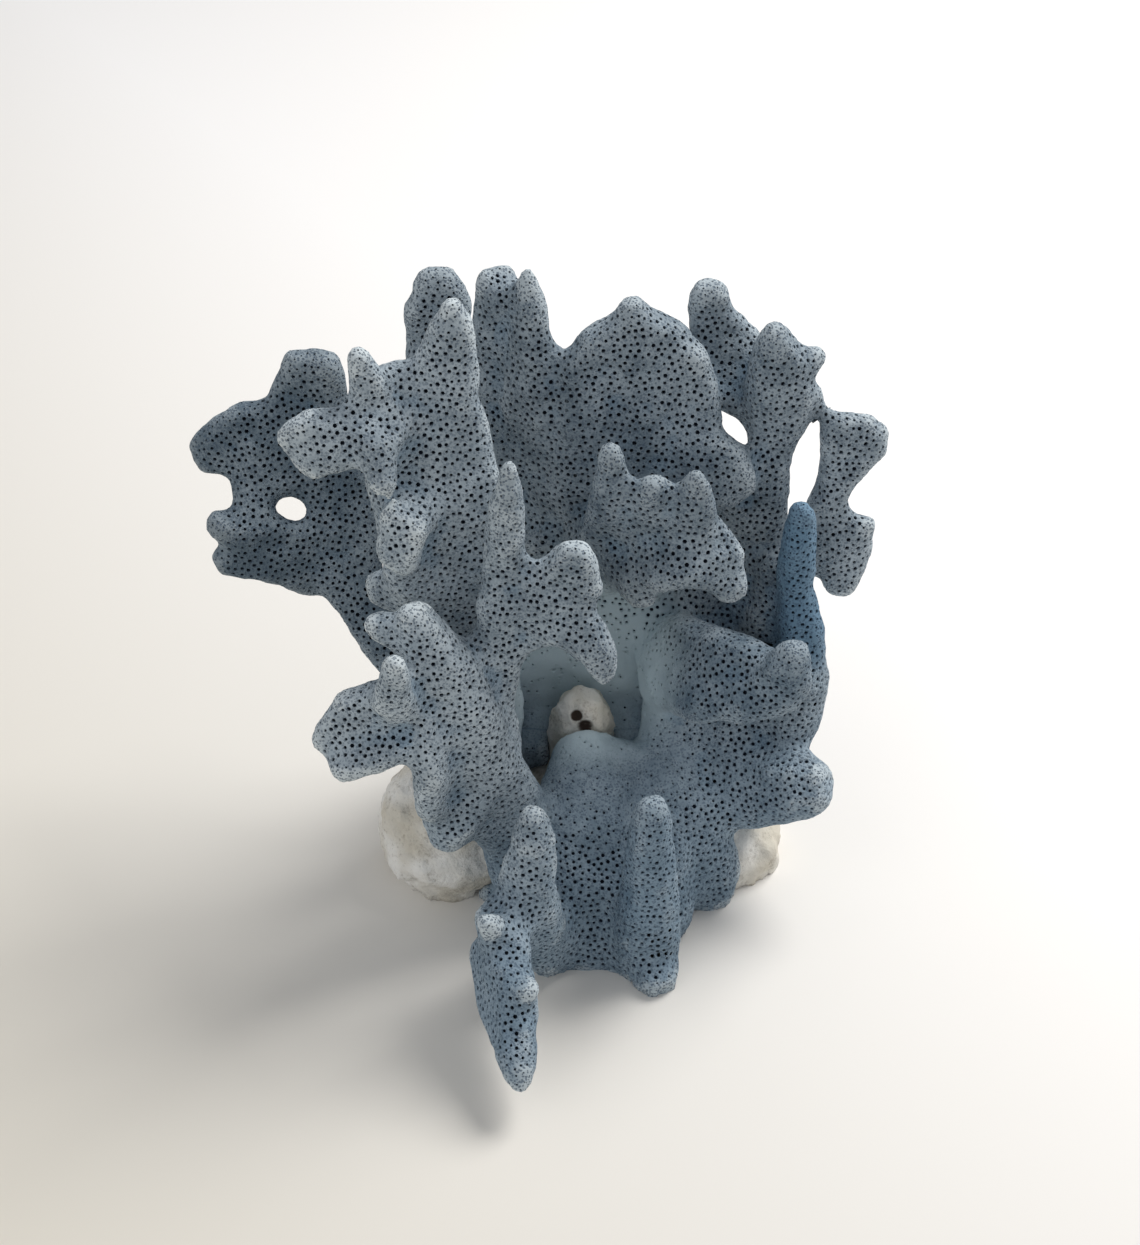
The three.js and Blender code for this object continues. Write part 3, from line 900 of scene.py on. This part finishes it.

# %% [markdown]
# ## The coral's finish
# Fresh blue coral is a chalky blue-grey. Between the pores its skeleton is a fine net of pale threads round
# tiny dark meshes, and on rims and tips, where there are few pores, the net is all that is seen. Pore bottoms
# are painted near-black navy, partly their own colour and partly painted shade, and creases get blue painted
# shade. The old skeleton near the foot is a purer blue, and in the hollow it is smooth and pale, partly with
# painted light. All of it comes from the numbers on the skin, from the place on the colony, and from noise.
# First come the colours, the sizes and the ranges.

# %% Choose the coral's colours and sizes
PALE_SKELETON = (0.43, 0.50, 0.55, 1)
DARK_SKELETON = (0.10, 0.14, 0.175, 1)
BLUE_SKELETON_AND_SHADE = (0.12, 0.225, 0.33, 1)
PALE_RIM = (0.64, 0.71, 0.74, 1)
SMOOTH_WALL_AND_PAINTED_LIGHT = (0.52, 0.64, 0.69, 1)
PORE_NAVY_AND_SHADE = (0.006, 0.016, 0.038, 1)
MESH_SHADE = (0.035, 0.07, 0.125, 1)
WALL_MIDDLE = Vector((10, 22, 50)) * MM  # in the hollow, where the skeleton is smooth and pale, with painted light added there
WALL_REACH = (13 * MM, 27 * MM)
NET_SIZE = 0.55 * MM
CORAL_GRAIN = 0.45 * MM
PATCH_SIZE = 9 * MM
GRAIN_RANGE = (0.3, 0.7)  # nearly all that a noise gives lies between these
TONE_CHANGE = 0.2
FOOT = (12 * MM, 60 * MM)
CREASE_SHADE_RELIEF = (0.1, -0.6)  # relief and depth are in millimetres
PALE_RIM_RELIEF = (0.3, 1.0)
NET_RELIEF = (0.1, 0.8)
PIT_SHADE_DEPTH = (0.08, 0.6)
GRAIN_BUMP = 0.12 * MM
NET_BUMP = 0.22 * MM


print("net meshes are", NET_SIZE / MM, "mm wide")

# %% [markdown]
# These helpers mix two colours, read the numbers kept on the skin, measure places and make bumps.

# %% Define the shader helpers
def blend(tree, amount, below, above):
    node = add_node(tree, "ShaderNodeMix", {"Factor": amount}, data_type="RGBA")
    for name, value in (("A", below), ("B", above)):
        socket = [s for s in node.inputs if s.enabled and s.name == name][0]
        if isinstance(value, bpy.types.NodeSocket):
            tree.links.new(value, socket)
        else:
            socket.default_value = value
    return [s for s in node.outputs if s.enabled][0]


def number(tree, name):
    node = add_node(tree, "ShaderNodeAttribute", attribute_name=name, attribute_type="GEOMETRY")
    return node.outputs["Fac"]


def height_above_foot(tree):
    return add_node(tree, "ShaderNodeSeparateXYZ", {0: object_place(tree)}).outputs["Z"]


def distance_from(tree, place):
    ends = {0: object_place(tree), 1: place}
    return add_node(tree, "ShaderNodeVectorMath", ends, operation="DISTANCE").outputs["Value"]


def bump(tree, height, distance, strength=1.0, below=None):
    inputs = {"Height": height, "Distance": distance, "Strength": strength}
    node = add_node(tree, "ShaderNodeBump", inputs)
    if below is not None:
        tree.links.new(below, node.inputs["Normal"])
    return node.outputs[0]


def net(tree, size):
    """The skeleton's net: 1 in the middle of a mesh, 0 on the threads between the meshes."""
    here = object_place(tree)
    wobble = add_node(tree, "ShaderNodeTexNoise", {"Vector": here, "Scale": 0.5 / size}).outputs["Color"]
    shift = add_node(tree, "ShaderNodeVectorMath", {0: wobble, "Scale": size}, operation="SCALE").outputs[0]
    place = add_node(tree, "ShaderNodeVectorMath", {0: here, 1: shift}, operation="ADD")
    inputs = {"Vector": place.outputs[0], "Scale": 1.0 / size, "Randomness": 1.0}
    far = add_node(tree, "ShaderNodeTexVoronoi", inputs, feature="F1").outputs["Distance"]
    return ramp(tree, far, 0.22, 0.55, 1.0, 0.0)


print("shader helpers ready")

# %% [markdown]
# The colour is built in layers, as a painter would: the skeleton with painted shade in its creases, the pale
# rims, the net, the smooth wall in the hollow with painted light on it, and last the dark of the pores,
# partly painted shade.

# %% Make the coral material
def skeleton_colour(tree, relief, patches, shade):
    """Dark to pale after the tone of the branch, and bluer near the foot and on blue branches; creases get
    blue painted shade.
    """
    tone = maths(tree, "ADD", number(tree, "tone"), patches)
    tone = maths(tree, "ADD", tone, ramp(tree, shade, *GRAIN_RANGE, -TONE_CHANGE, TONE_CHANGE))
    colour = blend(tree, tone, DARK_SKELETON, PALE_SKELETON)
    blueness = ramp(tree, height_above_foot(tree), *FOOT, 0.45, 0.05)
    # painted shade: creases turn dark blue where shade falls in them
    crease_shade = ramp(tree, relief, *CREASE_SHADE_RELIEF, 0.0, 0.5)
    colour = blend(tree, maths(tree, "MAXIMUM", blueness, crease_shade), colour, BLUE_SKELETON_AND_SHADE)
    return blend(tree, ramp(tree, number(tree, "blue"), 0.0, 1.0), colour, BLUE_SKELETON_AND_SHADE)


def pale_rim_mask(tree, relief, patches):
    """1 where a rim is paler. Dark branches and blue ones show it less."""
    uneven = maths(tree, "ADD", relief, maths(tree, "MULTIPLY", patches, 0.5))
    rim_paleness = ramp(tree, uneven, *PALE_RIM_RELIEF, 0.0, 0.9)
    rim_paleness = maths(tree, "MULTIPLY", rim_paleness, ramp(tree, number(tree, "tone"), 0.3, 0.85, 0.3, 1.0))
    return maths(tree, "MULTIPLY", rim_paleness, ramp(tree, number(tree, "blue"), 0.1, 0.6, 1.0, 0.15))


def finish_coral(material):
    material.use_nodes = True
    tree = material.node_tree
    shader = tree.nodes["Principled BSDF"]
    grain = add_node(tree, "ShaderNodeGroup", node_tree=GRAIN)
    grain.inputs["Size"].default_value = CORAL_GRAIN
    relief = number(tree, "relief")
    patches = ramp(tree, noise(tree, PATCH_SIZE), *GRAIN_RANGE, -TONE_CHANGE, TONE_CHANGE)
    colour = skeleton_colour(tree, relief, patches, grain.outputs["Shade"])
    colour = blend(tree, pale_rim_mask(tree, relief, patches), colour, PALE_RIM)
    near_hollow = ramp(tree, distance_from(tree, WALL_MIDDLE), *WALL_REACH, 0.9, 0.0)
    meshes = net(tree, NET_SIZE)
    shown = ramp(tree, relief, *NET_RELIEF, 0.45, 0.68)
    shown = maths(tree, "MULTIPLY", shown, maths(tree, "SUBTRACT", 1.0, near_hollow))
    colour = blend(tree, maths(tree, "MULTIPLY", meshes, shown), colour, MESH_SHADE)
    # the smooth wall in the hollow: its own pale colour, with painted light on top
    colour = blend(tree, near_hollow, colour, SMOOTH_WALL_AND_PAINTED_LIGHT)
    # pits darken with depth to a near-black navy: their own colour and painted shade
    colour = blend(tree, ramp(tree, number(tree, "depth"), *PIT_SHADE_DEPTH), colour, PORE_NAVY_AND_SHADE)
    tree.links.new(colour, shader.inputs["Base Color"])
    tree.links.new(ramp(tree, grain.outputs["Shade"], *GRAIN_RANGE, 0.7, 0.95), shader.inputs["Roughness"])
    dents = maths(tree, "MULTIPLY", meshes, maths(tree, "MULTIPLY", shown, -1.0))
    fine = bump(tree, grain.outputs["Height"], GRAIN_BUMP, 0.6)
    tree.links.new(bump(tree, dents, NET_BUMP, 0.9, below=fine), shader.inputs["Normal"])


finish_coral(coral)
print("coral material:", len(coral.node_tree.nodes), "nodes")

# %% [markdown]
# ## The rock's finish
# Weathered limestone is cream to white, browner in its dents, and it never shines. The relief on the mesh
# picks out the dents, the bored holes in the stub get painted shade, a near-black brown, inside and round
# their mouths, and the shared grain gives the stone its gritty look.

# %% Make the limestone material
CREAM = (0.66, 0.62, 0.53, 1)
CHALK = (0.86, 0.85, 0.81, 1)
DENT_BROWN = (0.20, 0.16, 0.11, 1)
HOLE_PAINTED_SHADE = (0.035, 0.022, 0.014, 1)
ROCK_GRAIN = 0.8 * MM
ROCK_PATCHES = 12 * MM
ROCK_BUMP = 0.35 * MM
DENT_RELIEF = (-0.1, -0.9)  # in millimetres
HOLE_EDGE = (0.9, 1.3)  # the painted shade fades out between these shares of a hole's radius


def finish_limestone():
    material = bpy.data.materials.new("reef limestone")
    material.use_nodes = True
    tree = material.node_tree
    shader = tree.nodes["Principled BSDF"]
    grain = add_node(tree, "ShaderNodeGroup", node_tree=GRAIN)
    grain.inputs["Size"].default_value = ROCK_GRAIN
    patches = ramp(tree, noise(tree, ROCK_PATCHES), 0.35, 0.65)
    colour = blend(tree, patches, CREAM, CHALK)
    colour = blend(tree, ramp(tree, grain.outputs["Shade"], 0.5, 0.3, 0.0, 0.5), colour, DENT_BROWN)
    dents = ramp(tree, number(tree, "relief"), *DENT_RELIEF, 0.0, 0.85)
    colour = blend(tree, dents, colour, DENT_BROWN)
    # painted shade: the bored holes and their mouths turn nearly black
    for place, radius in STUB_HOLES:
        edge = [share * radius for share in HOLE_EDGE]
        colour = blend(tree, ramp(tree, distance_from(tree, place), *edge, 1.0, 0.0), colour, HOLE_PAINTED_SHADE)
    tree.links.new(colour, shader.inputs["Base Color"])
    shader.inputs["Roughness"].default_value = 0.95
    tree.links.new(bump(tree, grain.outputs["Height"], ROCK_BUMP, 0.9), shader.inputs["Normal"])
    return material


rock.data.materials.clear()
rock.data.materials.append(finish_limestone())
print("limestone material ready")

# %% [markdown]
# ## Attach the pieces to the body
# Every piece rides on the one body of this object and replaces the CAD node it was made from.

# %% Attach the pieces
coral_pieces = list(branches.items()) + [("trunk", half) for half in trunk_halves]
for name, piece in coral_pieces:
    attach(piece, "root")
    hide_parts(name)
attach(rock, "root")
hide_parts("limestone")

print("pieces:", len(coral_pieces) + 1)
